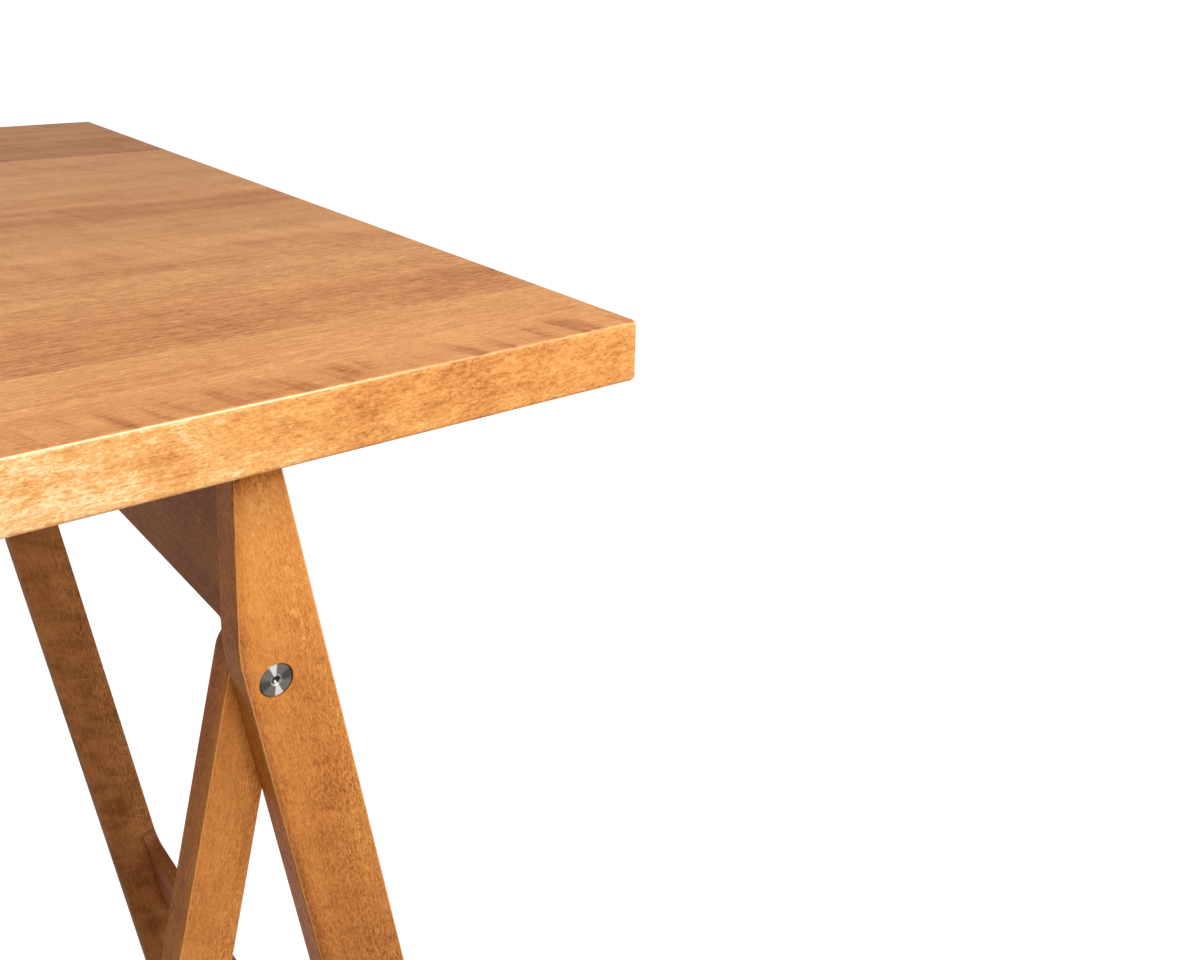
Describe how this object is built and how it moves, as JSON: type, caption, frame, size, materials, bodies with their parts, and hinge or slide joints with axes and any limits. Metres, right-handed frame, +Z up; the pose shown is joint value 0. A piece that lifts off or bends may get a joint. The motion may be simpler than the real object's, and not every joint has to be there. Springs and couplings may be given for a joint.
{
  "type": "sawbuck table",
  "caption": "Rectangular solid wood table on two folding sawhorse trestles, each a pair of nested leg frames that cross on steel pivots and rest open against stop pins.",
  "frame": {"origin": "on the floor, under the middle of the tabletop", "axes": "+X along the table's length, +Y across its width, +Z up"},
  "size_m": [1.552, 0.7, 0.76],
  "materials": {
    "top_wood": "honey-stained, satin lacquer",
    "frame_wood": "honey-stained, satin lacquer",
    "turned_steel": "fine turned",
    "plated_steel": "zinc plated",
    "nylon": "brown nylon"
  },
  "bodies": {
    "table": {"top_board_1": "top_wood", "top_board_2": "top_wood", "top_board_3": "top_wood", "top_board_4": "top_wood", "top_board_5": "top_wood", "top_board_6": "top_wood", "top_board_7": "top_wood", "top_board_8": "top_wood", "right_outer_leg_front": "frame_wood", "right_outer_leg_back": "frame_wood", "right_top_rail": "frame_wood", "right_outer_stretcher": "frame_wood", "right_pivot_sleeves": "turned_steel", "right_pivot_screws": "turned_steel", "right_pivot_washers": "turned_steel", "right_stop_pins": "turned_steel", "right_top_brackets": "plated_steel", "right_bracket_screws": "plated_steel", "right_outer_foot_glides": "nylon", "left_outer_leg_front": "frame_wood", "left_outer_leg_back": "frame_wood", "left_top_rail": "frame_wood", "left_outer_stretcher": "frame_wood", "left_pivot_sleeves": "turned_steel", "left_pivot_screws": "turned_steel", "left_pivot_washers": "turned_steel", "left_stop_pins": "turned_steel", "left_top_brackets": "plated_steel", "left_bracket_screws": "plated_steel", "left_outer_foot_glides": "nylon"},
    "right_inner_frame": {"right_inner_leg_front": "frame_wood", "right_inner_leg_back": "frame_wood", "right_inner_stretcher": "frame_wood", "right_inner_foot_glides": "nylon"},
    "left_inner_frame": {"left_inner_leg_front": "frame_wood", "left_inner_leg_back": "frame_wood", "left_inner_stretcher": "frame_wood", "left_inner_foot_glides": "nylon"}
  },
  "joints": [
    {"name": "right_fold", "type": "hinge", "parent": "table", "child": "right_inner_frame", "pos_m": [0.625, 0, 0.6093], "axis": [0, -1, 0], "range_deg": [0, 23.6]},
    {"name": "left_fold", "type": "hinge", "parent": "table", "child": "left_inner_frame", "pos_m": [-0.625, 0, 0.6093], "axis": [0, 1, 0], "range_deg": [0, 23.6]}
  ]
}
